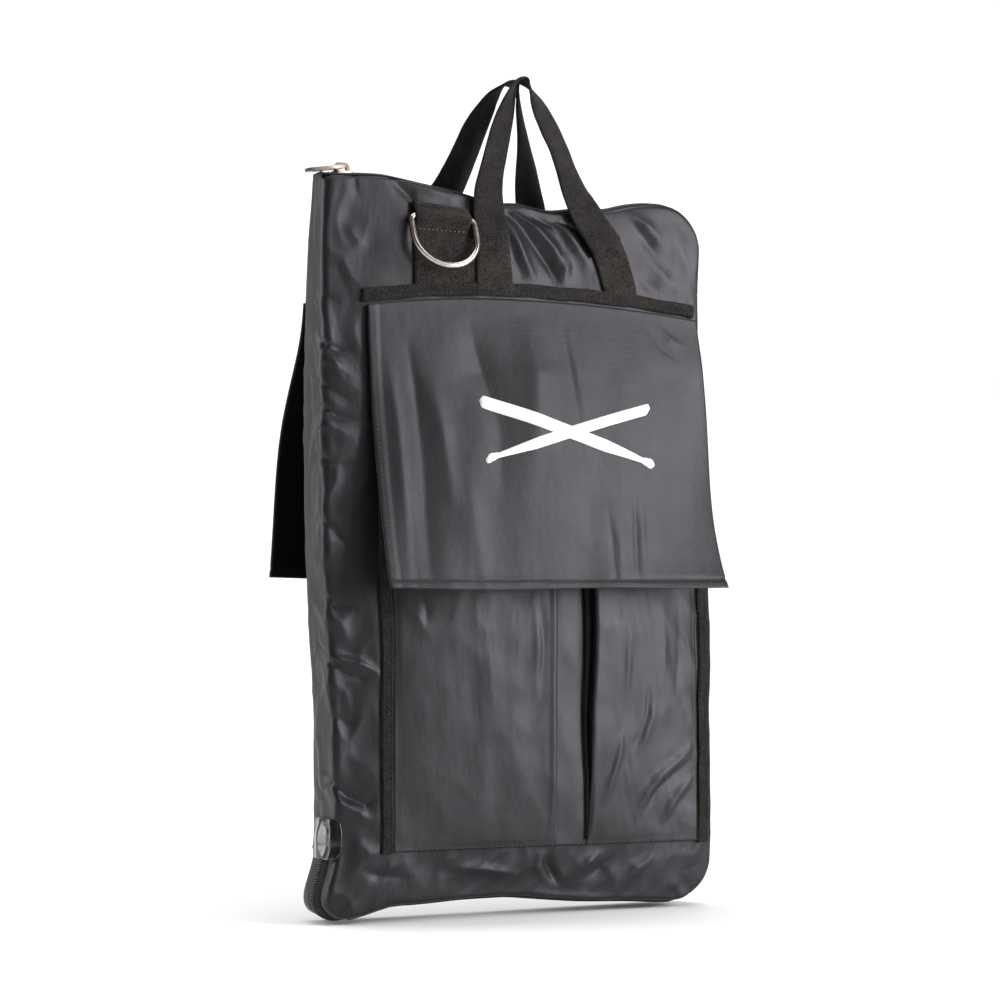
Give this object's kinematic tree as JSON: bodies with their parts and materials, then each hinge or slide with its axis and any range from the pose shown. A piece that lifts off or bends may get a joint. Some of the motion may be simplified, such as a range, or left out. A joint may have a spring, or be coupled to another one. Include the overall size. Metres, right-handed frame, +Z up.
{
  "type": "drum stick bag",
  "caption": "Soft upright drum stick case that opens like a book on a folding spine: zip round the other sides, an outer pocket with a hanging flap, a webbing handle and a D-ring on each cover.",
  "frame": {"origin": "centre of the bottom of the overall box, on the floor", "axes": "+Z up along the bag's height, front cover faces -Y, spine on the -X side, zip side on +X"},
  "size_m": [0.2893, 0.1134, 0.5541],
  "materials": {
    "nylon": "satin coated nylon",
    "black_nylon": "plain black nylon",
    "webbing": "woven webbing and binding tape",
    "foam": "soft padding",
    "lining": "thin plain nylon",
    "zip": "zip tape and coil",
    "nickel": "polished nickel plate",
    "vinyl": "glossy vinyl",
    "velcro": "hook and loop tape"
  },
  "bodies": {
    "back_cover": {"back_shell": "nylon", "back_foam": "foam", "back_lining": "lining", "back_stick_pocket": "lining", "back_stick_pocket_hem": "webbing", "back_zip_tape": "zip", "back_zip_coil": "zip", "back_pocket_panel": "nylon", "back_pocket_binding_left": "webbing", "back_pocket_binding_right": "webbing", "back_loop_strip": "velcro", "back_flap_tape": "webbing", "back_ring_tab": "webbing", "back_handle_end_left": "webbing", "back_handle_end_right": "webbing"},
    "spine": {"spine_shell": "nylon", "spine_foam": "foam", "spine_lining": "lining", "zip_end_tab": "vinyl"},
    "front_cover": {"front_shell": "nylon", "front_foam": "foam", "front_lining": "lining", "front_stick_pocket": "lining", "front_stick_pocket_hem": "webbing", "front_zip_tape": "zip", "front_zip_coil": "zip", "front_pocket_panel": "nylon", "front_pocket_binding_left": "webbing", "front_pocket_binding_right": "webbing", "front_loop_strip": "velcro", "front_flap_tape": "webbing", "front_ring_tab": "webbing", "front_handle_end_left": "webbing", "front_handle_end_right": "webbing"},
    "front_flap": {"front_flap_panel": "nylon", "front_flap_lining": "black_nylon", "front_hook_strip": "velcro"},
    "front_handle": {"front_handle_loop": "webbing"},
    "front_ring": {"front_d_ring": "nickel"},
    "back_flap": {"back_flap_panel": "nylon", "back_flap_lining": "black_nylon", "back_hook_strip": "velcro"},
    "back_handle": {"back_handle_loop": "webbing"},
    "back_ring": {"back_d_ring": "nickel"},
    "zip_slider": {"zip_slider": "nickel"},
    "zip_pull": {"zip_pull_tab": "nickel"}
  },
  "joints": [
    {"name": "fold_back", "type": "hinge", "parent": "back_cover", "child": "spine", "pos_m": [-0.1405, 0.021, 0], "axis": [0, 0.0187, -0.9998], "range_deg": [0, 90]},
    {"name": "fold_front", "type": "hinge", "parent": "spine", "child": "front_cover", "pos_m": [-0.1405, -0.021, 0], "axis": [0, -0.0187, -0.9998], "range_deg": [0, 90]},
    {"name": "front_flap_lift", "type": "hinge", "parent": "front_cover", "child": "front_flap", "pos_m": [0.002, -0.01897, 0.4041], "axis": [-1, 0, 0], "range_deg": [-1.5, 140]},
    {"name": "front_handle_fold", "type": "hinge", "parent": "front_cover", "child": "front_handle", "pos_m": [0.002, -0.01601, 0.4485], "axis": [-1, 0, 0], "range_deg": [-150, 0]},
    {"name": "front_ring_swing", "type": "hinge", "parent": "front_cover", "child": "front_ring", "pos_m": [-0.057, -0.01791, 0.4555], "axis": [-1, 0, 0], "range_deg": [0, 140]},
    {"name": "back_flap_lift", "type": "hinge", "parent": "back_cover", "child": "back_flap", "pos_m": [0.002, 0.01897, 0.4041], "axis": [1, 0, 0], "range_deg": [-1.5, 140]},
    {"name": "back_handle_fold", "type": "hinge", "parent": "back_cover", "child": "back_handle", "pos_m": [0.002, 0.01601, 0.4485], "axis": [1, 0, 0], "range_deg": [-150, 0]},
    {"name": "back_ring_swing", "type": "hinge", "parent": "back_cover", "child": "back_ring", "pos_m": [0.061, 0.01791, 0.4555], "axis": [1, 0, 0], "range_deg": [0, 140]},
    {"name": "slider_run", "type": "slide", "parent": "back_cover", "child": "zip_slider", "axis": [1, 0, 0], "range_m": [0, 0.22]},
    {"name": "pull_flip", "type": "hinge", "parent": "zip_slider", "child": "zip_pull", "pos_m": [-0.1205, 0, 0.4852], "axis": [0, 1, 0], "range_deg": [0, 150]}
  ],
  "couplings": [
    {"joint": "fold_front", "follows": "fold_back", "ratio": 1}
  ]
}
